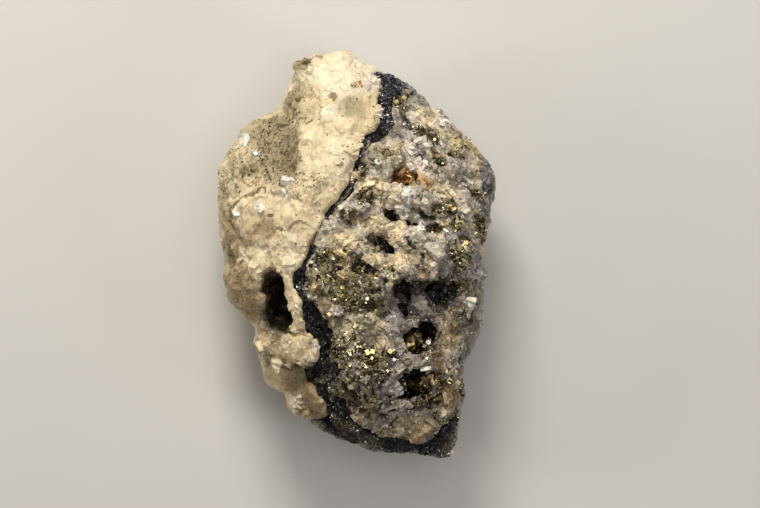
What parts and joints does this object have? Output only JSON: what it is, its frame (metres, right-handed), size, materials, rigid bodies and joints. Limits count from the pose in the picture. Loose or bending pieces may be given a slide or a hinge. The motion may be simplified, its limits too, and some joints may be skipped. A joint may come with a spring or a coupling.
{
  "type": "mineral specimen",
  "caption": "Hand-sized mineral specimen: cream dolomite and brassy pyrite on grey quartz, parted by a dark sulphide seam.",
  "frame": {"origin": "middle of the stone's outline in plan, at the height of the flat broken back it lies on", "axes": "+Z from the back it lies on towards the crystal-bearing show face; +Y along the stone's long way, towards the dolomite knob; +X from the dolomite towards the quartz"},
  "size_m": [0.082, 0.1204, 0.0597],
  "materials": {
    "dolomite": "granular, waxy, slightly translucent",
    "sulphide_seam": "fine-grained, blue-black, glittering",
    "quartz_pyrite": "glassy quartz grains with metallic pyrite",
    "pyrite": "metallic brass-yellow crystals",
    "dark_crystals": "dark glossy crystals"
  },
  "bodies": {
    "root": {"dolomite_mass": "dolomite", "dark_sulphide_seam": "sulphide_seam", "quartz_pyrite_matrix": "quartz_pyrite", "pyrite_crust_upper_pocket": "pyrite", "pyrite_crust_middle_pocket": "pyrite", "pyrite_crust_lower_pocket": "pyrite", "dark_crust_side_pocket": "dark_crystals"}
  },
  "joints": []
}
